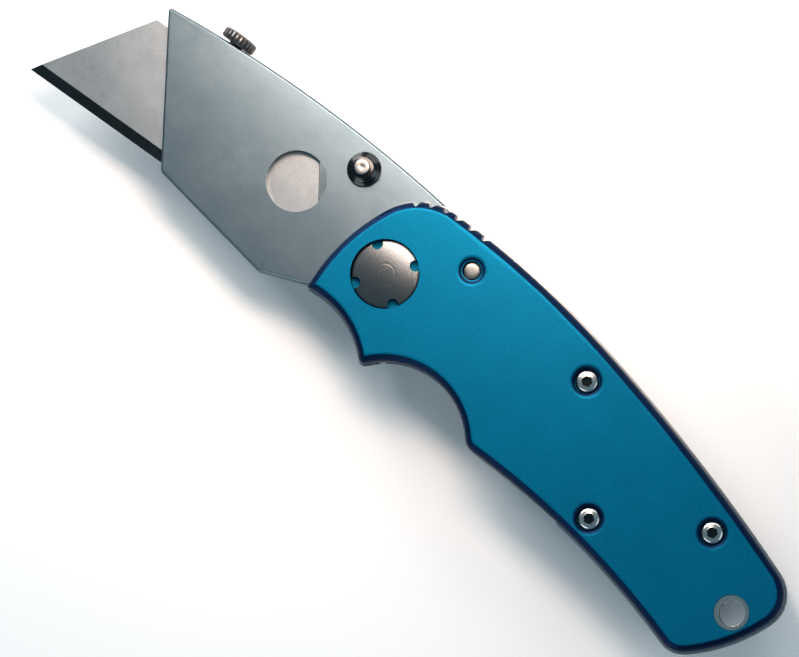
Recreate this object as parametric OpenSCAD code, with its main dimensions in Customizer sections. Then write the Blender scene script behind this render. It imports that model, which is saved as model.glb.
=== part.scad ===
// Folding utility knife, open, lying on its clip side.
// Drawn about the pivot: the pivot axis is Z, the knife's length runs along X and the spine is at +Y.
// place() then moves everything so that the origin is at the middle of the foot print, at table level.

/* [Blade] */
// Length of the trapezoid blade along its cutting edge
blade_len = 60.5; // [60:0.5:62]
// Height of the blade from the cutting edge to its back
blade_h = 19.2; // [18.8:0.1:19.4]
// Thickness of the blade
blade_t = 0.6; // [0.5:0.05:0.65]
// Length that each slanted end takes off the back of the blade
blade_end = 13; // [12.5:0.1:14.5]
// Width of the ground bevel
blade_bevel = 1.8; // [1.2:0.1:2.2]

/* [Carrier] */
// Thickness of each side plate
plate_t = 1.55; // [1.5:0.05:1.8]
// Thickness of the core that leaves the slot for the blade
core_t = 0.8; // [0.75:0.05:0.9]
// Radius of the finger hole that pushes the blade out
finger_hole_r = 5.15; // [4.5:0.05:5.4]
// Radius of the thumb stud at its foot
stud_r = 2.9; // [2.4:0.1:2.9]
// Height of the thumb stud above the plate
stud_h = 3.4; // [2.6:0.1:3.6]

/* [Clamp screw] */
// Diameter of the knurled knob
knob_d = 6.2; // [5.6:0.1:6.6]
// Thickness of the knurled knob
knob_t = 1.9; // [1.6:0.1:2.2]
// Number of ridges round the knob
knob_ridges = 24; // [20:1:30]

/* [Handle] */
// Thickness of each aluminium cover
cover_t = 3; // [2.8:0.1:3.4]
// Thickness of each steel liner
liner_t = 1; // [0.9:0.05:1.1]
// Width of the rounded edge of the covers
cover_edge = 1.55; // [1.2:0.05:1.6]
// Distance between two notches of the thumb grip
notch_pitch = 2.8; // [2.6:0.05:2.9]
// Depth of the thumb grip notches below the liner's edge
notch_depth = 1.15; // [0.8:0.05:1.25]

/* [Pivot] */
// Radius of the pivot barrel
pivot_r = 3; // [2.8:0.1:3.1]
// Radius of the round heads at both ends of the pivot
pivot_head_r = 5.65; // [5.4:0.05:5.7]

/* [Clip] */
// Width of the belt clip
clip_w = 8; // [7:0.5:9]
// Thickness of the clip's spring steel
clip_t = 1; // [0.8:0.1:1.1]
// Height of the free space under the clip's belly
clip_gap = 2.85; // [2.4:0.05:3]

/* [Hidden] */
$fn = 96;

// Levels of the stack, from the middle plane outwards
run_gap = 0.02;                      // between a washer and the carrier
fit_gap = 0.02;                      // round a fixed pin in its hole
turn_gap = 0.05;                     // round the pivot barrel
carrier_half = core_t / 2 + plate_t;
washer_t = 0.28;
liner_in = carrier_half + run_gap + washer_t;
liner_out = liner_in + liner_t;
cover_out = liner_out + cover_t;

// Where the open knife's foot print has its middle, seen from the pivot, and how deep the clip reaches
frame_x = 7.04;
frame_y = -1.93;
clip_depth = cover_out + clip_gap + clip_t;

// Handle outline: sides run anticlockwise from the forefinger hollow.
// Each is an arc [centre, radius, bulge]: bulge is 1 where it bows out and -1 where it is hollow.
sides = [
    [[-6.7, -25.35], 15.84, -1],     // forefinger hollow
    [[16.3, -22.8], 13.3, -1],       // middle finger hollow
    [[29.4, -157.4], 142, -1],       // palm side
    [[57, 1], 29.5, 1],              // butt
    [[-32.95, -311.05], 330, 1],     // rear of the spine
    [[3, -142.85], 158, 1],          // front of the spine
    [[23.3, -5.7], 33.2, 1],         // bolster
];
// Corner after each side: [a point near it, rounding radius]
corners = [
    [[5.8, -14], 1.2],
    [[27, -15], 3],
    [[74.5, -22.7], 4.5],
    [[86, -4], 6],
    [[36, 11.7], 0.05],
    [[-2.6, 15], 11],
    [[-9.7, -9.8], 0.5],
];
side_steps = [14, 16, 12, 10, 12, 10, 12];
corner_steps = [6, 6, 8, 8, 1, 16, 4];
least_rounding = 0.05;

// Fixed places, seen from the pivot
stop_pin_at = [11.4, 8.85];
stop_pin_r = 1.4;
stud_at = [-13.9, 12.1];
finger_hole_at = [-22.1, 3.85];
cover_screws_at = [[37.5, 5.3], [68.5, -2.6], [51, -12.6]];
clip_screws_at = [[1.5, 0], [7, 2.1], [7, -2.1]];   // along and across the clip
spacer_pins_x = [28, 62];
detent_at = [12, -6.6];
detent_r = 0.75;
lanyard_at = [78.6, -11.2];
lanyard_r = 2.2;
lanyard_wall = 0.7;
clamp_x = -44.6;

// Carrier outline
carrier_spine_at = [-27.8, -239.4];
carrier_spine_r = 256.1;
carrier_nose = [-57.6, 15];
carrier_chin = [-41.8, -8.3];
carrier_belly = [-18.4, -12.1];
tang_heel = [-10.4, -9.05];
tang_back_r = 14.85;                 // shoulder that meets the stop pin
tang_free_r = 12.75;                 // rest of the tang passes inside the stop pin
lock_face_x = 8.2;
folded_angle = 171;

// Blade's place in the carrier, and the gap round it in its slot
blade_tip = [-71, -7.35];
blade_slope = 0.7;                   // rise of the cutting edge from the tip towards the pivot
blade_back_y = blade_tip.y + blade_h / cos(blade_slope) + (clamp_x - blade_tip.x) * tan(blade_slope);
slot_gap = 0.1;

// Small sizes shared by several pieces
counterbore_r = pivot_head_r + 0.15;
counterbore_floor = cover_out - 1.7;
screw_r = 1.1;
screw_head_r = 1.9;
clamp_r = 1.25;
clip_length = 52;
clip_start = [70.5, -7.9];
clip_turn = 168;

// ---------- outline arithmetic ----------

function wrap(angle) = angle - 360 * floor(angle / 360);

// Point where two circles cross, nearest to a given point
function crossing(a, ra, b, rb, near) =
    let (apart = norm(b - a),
         along = (ra * ra - rb * rb + apart * apart) / (2 * apart),
         off = sqrt(max(0, ra * ra - along * along)),
         u = (b - a) / apart,
         foot = a + u * along,
         v = [-u.y, u.x] * off)
    norm(foot + v - near) < norm(foot - v - near) ? foot + v : foot - v;

function side_r(i, inset) = sides[i][1] - sides[i][2] * inset;
function rounding(i, inset) = max(corners[i][1] - inset, least_rounding);
function corner_centre(i, inset) =
    let (next = (i + 1) % len(sides), depth = inset + rounding(i, inset))
    crossing(sides[i][0], side_r(i, depth), sides[next][0], side_r(next, depth), corners[i][0]);
function bearing(from, to) = atan2(to.y - from.y, to.x - from.x);
function touch(i, centre, inset) =
    let (a = bearing(sides[i][0], centre)) sides[i][0] + side_r(i, inset) * [cos(a), sin(a)];

// Points along side i, without its last one
function side_points(i, inset) =
    let (before = (i + len(sides) - 1) % len(sides), c = sides[i][0],
         a0 = bearing(c, corner_centre(before, inset)),
         a1 = bearing(c, corner_centre(i, inset)),
         sweep = sides[i][2] > 0 ? wrap(a1 - a0) : -wrap(a0 - a1))
    [for (k = [0 : side_steps[i] - 1])
        let (a = a0 + sweep * k / side_steps[i]) c + side_r(i, inset) * [cos(a), sin(a)]];

// Points round corner i, without its last one
function corner_points(i, inset) =
    let (next = (i + 1) % len(sides), c = corner_centre(i, inset), r = rounding(i, inset),
         b0 = bearing(c, touch(i, c, inset)),
         b1 = bearing(c, touch(next, c, inset)),
         sweep = wrap(b1 - b0 + 180) - 180)
    [for (k = [0 : corner_steps[i] - 1])
        let (b = b0 + sweep * k / corner_steps[i]) c + r * [cos(b), sin(b)]];

function outline(inset) =
    [for (i = [0 : len(sides) - 1], p = concat(side_points(i, inset), corner_points(i, inset))) p];

// Height of the handle's spine at a given x
function spine_y(x) =
    let (s = x < 36 ? sides[5] : sides[4]) s[0].y + sqrt(s[1] * s[1] - pow(x - s[0].x, 2));

// ---------- shared solids ----------

module place() { translate([-frame_x, -frame_y, clip_depth]) children(); }

module at(p, z = 0) { translate([p.x, p.y, z]) children(); }

module rod(r, z0, z1) { translate([0, 0, z0]) cylinder(r = r, h = z1 - z0); }

// Wall of the handle outline from z0 to z1
module handle_wall(z0, z1, inset = 0) {
    translate([0, 0, z0]) linear_extrude(z1 - z0) polygon(outline(inset));
}

// Plate whose outer edge is rounded: one ring of points per step of the rounding
module rounded_plate(z0, z1, inset, edge) {
    steps = 8;
    n = len(outline(inset));
    rings = concat([[inset, z0]],
        [for (k = [0 : steps]) let (a = 90 * k / steps)
            [inset + edge * (1 - cos(a)), z1 - edge + edge * sin(a)]]);
    polyhedron(
        points = [for (ring = rings, p = outline(ring[0])) [p.x, p.y, ring[1]]],
        faces = concat(
            [[for (i = [0 : n - 1]) i]],
            [for (k = [0 : len(rings) - 2], i = [0 : n - 1])
                [k * n + i, (k + 1) * n + i, (k + 1) * n + (i + 1) % n, k * n + (i + 1) % n]],
            [[for (i = [n - 1 : -1 : 0]) (len(rings) - 1) * n + i]]),
        convexity = 6);
}

// Saw teeth for the thumb where the bolster turns into the spine, cut right through
module thumb_notches(z0, z1) {
    turn = corner_centre(5, 0);
    turn_r = corners[5][1];
    first = -7.2;
    for (i = [0 : 5]) {
        s = first + notch_pitch * i;
        lean = s < 0 ? -s / turn_r * 180 / PI : -s / sides[5][1] * 180 / PI;
        centre = s < 0 ? turn : sides[5][0];
        reach = s < 0 ? turn_r : sides[5][1];
        translate([centre.x, centre.y, z0]) rotate(lean) translate([0, reach, 0])
            linear_extrude(z1 - z0)
                polygon([[-0.75, 0.6], [-0.6, -0.15], [-0.25, 0.15 - notch_depth], [0, -notch_depth],
                         [0.25, 0.1 - notch_depth], [0.55, 0.4 - notch_depth], [1.25, -0.1], [1.5, 0.6]]);
    }
}

// Room for the thumb to reach the lock leaf, in the rear half of the handle
module thumb_room(z0, z1) { at([17.2, -19.6]) rod(13.3, z0, z1); }

// Hole for a cover screw: clearance and the seat of its head
module cover_screw_hole() {
    rod(screw_r + 0.15, liner_out - 1, cover_out + 1);
    rod(screw_head_r + 0.25, cover_out - 1.6, cover_out + 1);
}

// Everything that is drilled through a cover, drawn for the front one
module cover_holes(screws_at) {
    rod(pivot_r + fit_gap, liner_out - 1, cover_out + 1);
    rod(counterbore_r, counterbore_floor, cover_out + 1);
    at(stop_pin_at) rod(stop_pin_r + 0.2, liner_out - 1, cover_out + 1);
    at(lanyard_at) rod(lanyard_r + lanyard_wall + fit_gap, liner_out - 1, cover_out + 1);
    for (p = screws_at) at(p) cover_screw_hole();
}

// Cover with its notches, before any hole; resize() with no change makes it one mesh
module blank_cover() {
    resize([0, 0, 0]) difference() {
        rounded_plate(liner_out, cover_out, 0.3, cover_edge);
        thumb_notches(0, cover_out + 1);
        children();
    }
}

// Liner with all its holes, drawn for the front one
module drilled_liner(screws_at) {
    difference() {
        handle_wall(liner_in, liner_out);
        rod(pivot_r + fit_gap, 0, cover_out);
        at(stop_pin_at) rod(stop_pin_r + fit_gap, 0, cover_out);
        at(lanyard_at) rod(lanyard_r + lanyard_wall + fit_gap, 0, cover_out);
        for (p = screws_at) at(p) rod(screw_r + fit_gap, 0, cover_out);
        for (x = spacer_pins_x) at([x, spine_y(x) - 2]) rod(1 + fit_gap, 0, cover_out);
        thumb_notches(0, cover_out);
    }
}

// ---------- handle ----------

module front_cover() {
    color("#1585ad") difference() {
        blank_cover();
        cover_holes(cover_screws_at);
    }
}

rear_screws_at = [cover_screws_at[0], cover_screws_at[2]];

function on_clip(p) = clip_start + [p.x * cos(clip_turn) - p.y * sin(clip_turn),
                                    p.x * sin(clip_turn) + p.y * cos(clip_turn)];
clip_holes_at = [for (p = clip_screws_at) on_clip(p)];

module rear_cover() {
    color("#1585ad") mirror([0, 0, 1]) difference() {
        blank_cover() thumb_room(0, cover_out + 1);
        cover_holes(rear_screws_at);
        for (p = clip_holes_at) at(p) rod(screw_r + 0.15, 0, cover_out + 1);
    }
}

// Region of the front liner that the lock leaf is cut from, and the slot beside it
leaf_root_x = 47;
leaf_tip_x = lock_face_x + 0.1;
leaf_top = [[leaf_tip_x, -3.3], [leaf_root_x, -7.5]];
module leaf_area(grow) {
    polygon([[leaf_tip_x - grow, -30], [leaf_tip_x - grow, leaf_top[0].y + grow],
             [leaf_root_x, leaf_top[1].y + grow], [leaf_root_x, -30]]);
}

module lock_liner() {
    color("#b9bcbe") difference() {
        drilled_liner(cover_screws_at);
        translate([0, 0, liner_in - 1]) linear_extrude(liner_t + 2) leaf_area(0.6);
    }
}

// The leaf springs inwards from its root until it stands behind the tang
leaf_bend = 1.65;
module bent_inwards() {
    root = [leaf_root_x, 0, (liner_in + liner_out) / 2];
    translate(root) rotate([0, -leaf_bend, 0]) translate(-root) children();
}

module lock_leaf() {
    color("#a9adb0") bent_inwards() difference() {
        intersection() {
            handle_wall(liner_in + 0.03, liner_out - 0.03, 0.15);
            translate([0, 0, liner_in - 1]) linear_extrude(liner_t + 2)
                polygon([[leaf_tip_x, -30], leaf_top[0], leaf_top[1] - [0.2, 0], [leaf_root_x - 0.2, -30]]);
        }
        at(detent_at) rod(detent_r + fit_gap, liner_in - 1, liner_out + 1);
    }
}

// Ball pressed into the leaf, proud of its inner face, that holds the carrier shut
module detent_ball() {
    color("silver") bent_inwards() at(detent_at, liner_in + 0.45) sphere(r = detent_r);
}

module rear_liner() {
    color("#b9bcbe") difference() {
        mirror([0, 0, 1]) drilled_liner(concat(rear_screws_at, clip_holes_at));
        thumb_room(-cover_out, 0);
    }
}

// Bar that closes the spine between the liners; below it the way is free for the folded blade
module back_spacer() {
    color("#2b2d30") difference() {
        intersection() {
            handle_wall(-liner_in, liner_in, 0.3);
            translate([0, 0, -liner_in]) linear_extrude(2 * liner_in)
                polygon([[19, 2], [70, -3], [95, -5], [95, 30], [19, 30]]);
        }
        handle_wall(-liner_in - 1, liner_in + 1, 3.7);
        for (x = spacer_pins_x) at([x, spine_y(x) - 2]) rod(1 + fit_gap, -liner_in - 1, liner_in + 1);
    }
}

module spacer_pins() {
    color("silver") for (x = spacer_pins_x) at([x, spine_y(x) - 2]) rod(1, -liner_out + 0.05, liner_out - 0.05);
}

module stop_pin() {
    color("#9b9b98") at(stop_pin_at) rod(stop_pin_r, -cover_out + 0.45, cover_out - 0.45);
}

// Four half round notches for the pin spanner
module spanner_notches(z0, z1) {
    for (a = [48 : 90 : 318]) rotate(a) translate([pivot_head_r - 0.45, 0, 0]) rod(0.95, z0, z1);
}

// Pivot head with a low dome, from the counterbore's floor up to just under the cover's face
module pivot_head() {
    difference() {
        translate([0, 0, counterbore_floor + 0.02]) rotate_extrude()
            polygon([[0, 0], [pivot_head_r, 0], [pivot_head_r, 1.1], [pivot_head_r - 0.25, 1.3],
                     [2.5, 1.5], [0, 1.6]]);
        spanner_notches(counterbore_floor - 1, cover_out + 1);
    }
}

module pivot_barrel() {
    color("#8e8d89") difference() {
        union() {
            pivot_head();
            rod(pivot_r, -liner_out - 1, counterbore_floor + 0.5);
        }
        rod(1.75, -liner_out - 2, liner_out);
    }
}

module pivot_screw() {
    color("#8e8d89") mirror([0, 0, 1]) {
        pivot_head();
        rod(1.73, -liner_in, counterbore_floor + 0.5);
    }
}

module washer(z0) {
    difference() {
        rod(6, z0, z0 + washer_t);
        rod(pivot_r + fit_gap, z0 - 1, z0 + 1);
    }
}
module front_washer() { color("#b08d57") washer(liner_in - washer_t); }
module rear_washer() { color("#b08d57") washer(-liner_in); }

// Button head screw with a hexagon socket, head up
module cover_screw() {
    difference() {
        union() {
            rod(screw_r, liner_in + 0.1, cover_out - 1.5);
            translate([0, 0, cover_out - 1.58]) rotate_extrude()
                polygon([[0, 0], [screw_head_r, 0], [screw_head_r, 0.7], [1.55, 1.15], [1.2, 1.25], [0, 1.25]]);
        }
        translate([0, 0, cover_out - 1.1]) cylinder(r = 0.85, h = 2, $fn = 6);
    }
}

module front_cover_screws() { color("#c8cbcc") for (p = cover_screws_at) at(p) cover_screw(); }

module rear_cover_screws() {
    color("#c8cbcc") mirror([0, 0, 1]) for (p = rear_screws_at) at(p) cover_screw();
}

// One eyelet lines the lanyard hole in each half of the handle
module lanyard_eyelets() {
    color("#c8cbcc") at(lanyard_at) difference() {
        union() {
            rod(lanyard_r + lanyard_wall, liner_in + 0.05, cover_out - 0.1);
            rod(lanyard_r + lanyard_wall, -cover_out + 0.1, -liner_in - 0.05);
        }
        rod(lanyard_r, -cover_out - 1, cover_out + 1);
    }
}

// ---------- belt clip ----------

function ease(t) = let (c = min(max(t, 0), 1)) c * c * (3 - 2 * c);

// Height of the clip's inner face above the cover: flat pad, belly, contact near the tip, flared tip
function clip_rise(s) = clip_gap * ease((s - 12) / 8) - (clip_gap - 0.15) * ease((s - 24) / 25)
    + 1.7 * ease((s - 49) / 8);

module clip_plan() {
    intersection() {
        translate([-3, -clip_w / 2]) square([clip_length + 3, clip_w]);
        polygon([[-3, -3.2], [-2, -4.5], [16, -4.5], [clip_length - 2, -2.9], [clip_length, -1.6],
                 [clip_length, 1.6], [clip_length - 2, 2.9], [16, 4.5], [-2, 4.5], [-3, 3.2]]);
    }
}

module belt_clip() {
    inner = [for (s = [-3 : 2 : clip_length]) [s, clip_rise(s)]];
    outer = [for (s = [clip_length : -2 : -3]) [s, clip_rise(s) + clip_t]];
    color("#9fa3a6") at(clip_start, -cover_out) rotate(clip_turn) difference() {
        intersection() {
            rotate([-90, 0, 0]) translate([0, 0, -clip_w]) linear_extrude(2 * clip_w)
                polygon(concat(inner, outer));
            translate([0, 0, -20]) linear_extrude(40) clip_plan();
        }
        for (p = clip_screws_at) at(p) rod(screw_r + 0.15, -5, 5);
    }
}

module clip_screws() {
    color("#c8cbcc") mirror([0, 0, 1]) for (p = clip_holes_at) at(p)
        difference() {
            union() {
                rod(screw_r, liner_in + 0.1, cover_out + clip_t + 0.3);
                translate([0, 0, cover_out + clip_t]) rotate_extrude()
                    polygon([[0, 0], [screw_head_r, 0], [screw_head_r, 0.35], [1.4, 0.85], [0, 0.95]]);
            }
            translate([0, 0, cover_out + clip_t + 0.3]) cylinder(r = 0.85, h = 2, $fn = 6);
        }
}

// ---------- carrier ----------

// Ring sector that the stop pin runs through, seen from the carrier
module pin_track() {
    a0 = bearing([0, 0], stop_pin_at);
    inner = tang_free_r;
    outer = 19;
    polygon(concat(
        [for (k = [0 : 24]) let (a = a0 - (folded_angle + 6.5) * k / 24) inner * [cos(a), sin(a)]],
        [for (k = [24 : -1 : 0]) let (a = a0 - (folded_angle + 6.5) * k / 24) outer * [cos(a), sin(a)]]));
}

// Side view of the whole carrier
module carrier_plan() {
    difference() {
        intersection() {
            translate(carrier_spine_at) circle(r = carrier_spine_r, $fn = 720);
            polygon([carrier_nose + [-0.4, 0.6], carrier_nose, carrier_chin, carrier_belly + [-0.9, 0.15],
                     carrier_belly, carrier_belly + [0.9, 0.36], tang_heel, [-4.5, -8.4], [1, -9.5],
                     [6.4, -10.2], [lock_face_x, -9.2], [lock_face_x, -3.1], [lock_face_x + 0.6, -2.7],
                     [16, -2.7], [16, 18], [-56, 18]]);
            union() {
                circle(r = tang_back_r);
                translate([-99.5, -40]) square([100, 80]);
            }
        }
        pin_track();
        translate(stop_pin_at) circle(r = stop_pin_r + fit_gap);
        circle(r = pivot_r + turn_gap);
        translate(stud_at) circle(r = 1.5 + fit_gap);
        translate(finger_hole_at) circle(r = finger_hole_r);
    }
}

// Tunnel for the clamp screw through the spine, in the middle plane
module clamp_tunnel() {
    translate([clamp_x, 8, 0]) rotate([-90, 0, 0]) cylinder(r = clamp_r + turn_gap, h = 14);
}

module carrier_plate() {
    difference() {
        translate([0, 0, core_t / 2]) linear_extrude(plate_t) carrier_plan();
        clamp_tunnel();
    }
}

module carrier_front_plate() { color("#8b959c") carrier_plate(); }
module carrier_rear_plate() { color("#8b959c") mirror([0, 0, 1]) carrier_plate(); }

// The blade's own frame: from its tip, with the cutting edge along X
module on_edge() { translate(blade_tip) rotate(blade_slope) children(); }

// The core fills the space round the blade on three sides and is open at the front
module carrier_core() {
    g = slot_gap;
    color("#7d868c") difference() {
        translate([0, 0, -core_t / 2]) linear_extrude(core_t) difference() {
            carrier_plan();
            on_edge() polygon([[-20, -g], [blade_len + g, -g], [blade_len - blade_end + g, blade_h + g],
                               [-20, blade_h + g]]);
        }
        clamp_tunnel();
    }
}

// Stepped thumb stud turned from bar: foot, three rings and a bright flat tip
module stud_knob() {
    tip_r = 1.3;
    step = (stud_h - 0.8) / 3;
    rotate_extrude() polygon([
        [0, 0], [stud_r - 0.2, 0], [stud_r, 0.2], [stud_r, 0.6],
        [stud_r - 0.35, 0.6 + 0.25 * step], [stud_r - 0.2, 0.6 + 0.6 * step], [stud_r - 0.45, 0.6 + step],
        [stud_r - 0.85, 0.6 + 1.25 * step], [stud_r - 0.7, 0.6 + 1.6 * step], [stud_r - 0.95, 0.6 + 2 * step],
        [tip_r + 0.05, 0.6 + 2.25 * step], [tip_r + 0.1, stud_h - 0.15], [tip_r, stud_h], [0, stud_h]]);
}

module front_thumb_stud() {
    color("#5c5e60") at(stud_at) union() {
        translate([0, 0, carrier_half]) stud_knob();
        rod(1.5, -carrier_half - 1.2, carrier_half + 0.5);
    }
}

module rear_thumb_stud() {
    color("#5c5e60") at(stud_at) mirror([0, 0, 1]) difference() {
        translate([0, 0, carrier_half]) stud_knob();
        rod(1.5 + fit_gap, 0, carrier_half + 1.25);
    }
}

module blade() {
    edge = 0.02;                     // half the width left at the cutting edge
    half = blade_t / 2;
    notch_at = 6.6;                  // from the middle of the blade's back to each notch
    color("#b4b6b8") on_edge() difference() {
        intersection() {
            rotate([90, 0, 90]) linear_extrude(blade_len)
                polygon([[0, -edge], [blade_bevel, -half], [blade_h, -half],
                         [blade_h, half], [blade_bevel, half], [0, edge]]);
            translate([0, 0, -1]) linear_extrude(2)
                polygon([[0, 0], [blade_len, 0], [blade_len - blade_end, blade_h], [blade_end, blade_h]]);
        }
        for (side = [-1, 1]) translate([blade_len / 2 + side * notch_at, blade_h, -1]) linear_extrude(2)
            polygon([[-1.3, 1], [-1.3, -1.2], [-0.9, -1.6], [0.9, -1.6], [1.3, -1.2], [1.3, 1]]);
    }
}

// ---------- clamp screw ----------

knob_base = 16.45;                   // height of the knob's underside above the pivot
module clamp_screw() {
    color("#55585a") translate([clamp_x, 0, 0]) rotate([-90, 0, 0])
        rod(clamp_r, blade_back_y + 2 * fit_gap, knob_base + knob_t - 0.35);
}

module knurled_knob() {
    r = knob_d / 2;
    groove = 0.55;                   // side of the square that cuts each groove
    color("#55585a") translate([clamp_x, knob_base, 0]) rotate([-90, 0, 0]) difference() {
        rotate_extrude() polygon([[0, 0], [r - 0.45, 0], [r, 0.35], [r, knob_t - 0.5], [r - 0.5, knob_t - 0.05],
                                  [r - 1, knob_t], [0, knob_t]]);
        rod(clamp_r + 0.03, -1, knob_t + 1);
        for (i = [0 : knob_ridges - 1]) rotate(360 * i / knob_ridges) translate([r + 0.15, 0, -1])
            rotate(45) translate([-groove / 2, -groove / 2, 0]) cube([groove, groove, knob_t + 2]);
    }
}

place() front_cover();
place() rear_cover();
place() lock_liner();
place() rear_liner();
place() lock_leaf();
place() detent_ball();
place() back_spacer();
place() spacer_pins();
place() stop_pin();
place() pivot_barrel();
place() pivot_screw();
place() front_washer();
place() rear_washer();
place() front_cover_screws();
place() rear_cover_screws();
place() lanyard_eyelets();
place() belt_clip();
place() clip_screws();
place() carrier_front_plate();
place() carrier_core();
place() carrier_rear_plate();
place() front_thumb_stud();
place() rear_thumb_stud();
place() blade();
place() clamp_screw();
place() knurled_knob();
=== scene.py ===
"""Looks of a folding utility knife, built as an add-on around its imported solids."""
import math

import bmesh
import bpy
from bpy.props import FloatProperty, FloatVectorProperty, IntProperty, PointerProperty
from mathutils import Matrix, Vector


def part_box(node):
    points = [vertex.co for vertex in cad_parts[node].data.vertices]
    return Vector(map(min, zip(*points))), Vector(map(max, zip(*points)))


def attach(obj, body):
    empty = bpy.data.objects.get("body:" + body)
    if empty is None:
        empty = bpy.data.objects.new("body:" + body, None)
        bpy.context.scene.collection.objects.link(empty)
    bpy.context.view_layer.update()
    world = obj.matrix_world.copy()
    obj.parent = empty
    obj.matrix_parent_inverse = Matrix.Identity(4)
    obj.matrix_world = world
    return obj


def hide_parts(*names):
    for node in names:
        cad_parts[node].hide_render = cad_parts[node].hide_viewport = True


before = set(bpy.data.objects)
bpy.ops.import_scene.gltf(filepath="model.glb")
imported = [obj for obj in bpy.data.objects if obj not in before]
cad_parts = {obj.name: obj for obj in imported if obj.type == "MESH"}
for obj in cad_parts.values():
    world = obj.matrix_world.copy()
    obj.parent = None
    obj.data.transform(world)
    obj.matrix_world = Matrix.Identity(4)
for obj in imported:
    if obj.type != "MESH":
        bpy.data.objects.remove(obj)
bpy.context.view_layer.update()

bl_info = {
    "name": "Folding Utility Knife",
    "version": (1, 0, 0),
    "blender": (4, 5, 0),
    "location": "3D View > Sidebar > Utility Knife",
    "description": "Builds a folding utility knife piece by piece",
    "category": "Object",
}

MM = 0.001

# Sizes that belong to the knife's design; the ones a user may change are in KnifeSizes.
WINDOW_FROM_PIVOT = Vector((-22.1, 3.85, 0)) * MM
WINDOW_CLEAR = 5.8 * MM            # nothing nearer to the window's middle gets the wide rounding
TANG_CLEAR = 9 * MM                # nor does anything nearer to the pivot
NOSE_LENGTH = 20 * MM              # corners this far ahead of the pivot are rounded in outline
STOP_PIN_HOLE = 1.75 * MM
SCREW_CLEARANCE = 0.15 * MM        # between a cover screw's head and its counterbore
SHAFT_RADIUS = 3.0 * MM
HEAD_DEPTH = 1.55 * MM             # from a pivot head's top to its underside
HEAD_CHAMFER = 0.18 * MM
NOTCH_RADIUS = 0.95 * MM
NOTCH_INSET = 0.45 * MM            # from the head's rim to a notch's middle
NOTCH_TURN = 51                    # degrees from +X to the first notch
SOCKET_RADIUS = 0.8 * MM           # across the corners of a screw's hexagon socket
COVER_SCREW_HEAD = 1.25 * MM
CLIP_SCREW_HEAD = 0.95 * MM
CLIP_EDGE = 0.16 * MM
PUNCHED_TIP = 0.17 * MM            # depth of a thumb stud's bright tip


# ---------- sizes and colours ----------

def length(name, description, default):
    return FloatProperty(name=name, description=description, default=default, unit="LENGTH",
                         precision=5)


def colour(name, description, default):
    return FloatVectorProperty(name=name, description=description, default=default,
                               subtype="COLOR", size=3, min=0.0, max=1.0)


class KnifeSizes(bpy.types.PropertyGroup):
    """Sizes of the details that the solids leave out"""
    broken_edge: length("Broken edge", "Width of the small rounding on machined edges", 0.00012)
    plate_edge: length("Plate edge", "Width of the tumbled rounding on the carrier's plates", 0.00042)
    plate_corner: length("Plate corner", "Rounding of the carrier's corners in outline", 0.0005)
    sheet_edge: length("Sheet edge", "Width of the rounding on thin sheet parts", 0.00008)
    head_dome: length("Head dome", "Rise of the pivot head's middle above its rim", 0.00048)
    head_ring: length("Head ring", "Depth of the ring round the pivot head's middle", 0.000012)
    dish_width: length("Dish width", "Width of the dish round the front cover's holes", 0.0010)
    dish_depth: length("Dish depth", "Depth of the dish round the front cover's holes", 0.00024)
    knurl_depth: length("Knurl depth", "Depth of the grooves between the knob's ridges", 0.00022)
    knurl_ridges: IntProperty(name="Knurl ridges", description="Ridges round the clamp knob",
                              default=24, min=12, max=60)
    camera_distance: length("Camera distance", "Distance from the knife to the camera", 0.6)


class KnifeColours(bpy.types.PropertyGroup):
    """Colours of the finishes"""
    anodised: colour("Anodised cover", "Blue of the covers' flat faces", (0.0, 0.146, 0.275))
    # Painted shade: near-black blue on the covers' rounded edges, for the dark surroundings they reflect.
    anodised_edge_shade: colour("Anodised edge", "Deep blue of the covers' rounded edges",
                          (0.0, 0.012, 0.045))
    carrier: colour("Carrier", "Blasted steel of the blade carrier", (0.215, 0.295, 0.345))
    # Painted shade: the carrier's rounded edges and walls are darkened in colour for shadow and dark
    # reflection.
    carrier_rim_shade: colour("Carrier rim", "Darker steel of the carrier's rounded edges and walls",
                        (0.055, 0.085, 0.11))
    blade: colour("Blade", "Ground steel of the blade", (0.40, 0.435, 0.46))
    # Painted reflection: the bevel is the blade's own steel, given a near-black base for the dark
    # surroundings it reflects.
    ground_bevel_shade: colour("Ground edge", "Dark ground bevel of the blade", (0.020, 0.030, 0.036))
    turned: colour("Turned steel", "Pivot heads", (0.175, 0.19, 0.20))
    nickel: colour("Dark nickel", "Thumb studs and clamp knob", (0.055, 0.056, 0.058))
    # Painted shade: near-black for the shadow deep in the grooves between the knob's ridges.
    knurl_groove: colour("Knurl groove", "Grime between the knob's ridges", (0.004, 0.004, 0.005))
    bright: colour("Bright steel", "Screws, pins and eyelets", (0.66, 0.66, 0.65))
    liner: colour("Liner steel", "Liners, lock leaf and clip", (0.52, 0.53, 0.54))
    bronze: colour("Bronze", "Washers", (0.45, 0.28, 0.12))
    spacer: colour("Spacer", "Black bar along the spine", (0.012, 0.012, 0.014))
    floor: colour("Floor", "Plain pale floor", (0.93, 0.935, 0.94))


def sizes():
    return bpy.context.scene.knife_sizes


def colours():
    return bpy.context.scene.knife_colours


# ---------- where things are ----------

def middle(node):
    low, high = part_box(node)
    return (low + high) / 2


def pivot():
    return middle("pivot_barrel")


# ---------- mesh helpers ----------

def cad_mesh(node):
    """A merged copy of a solid's mesh, with its flat faces whole."""
    bm = bmesh.new()
    bm.from_mesh(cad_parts[node].data)
    bmesh.ops.remove_doubles(bm, verts=bm.verts, dist=1e-6)
    bmesh.ops.dissolve_limit(bm, angle_limit=math.radians(0.4), verts=bm.verts, edges=bm.edges)
    return bm


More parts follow.
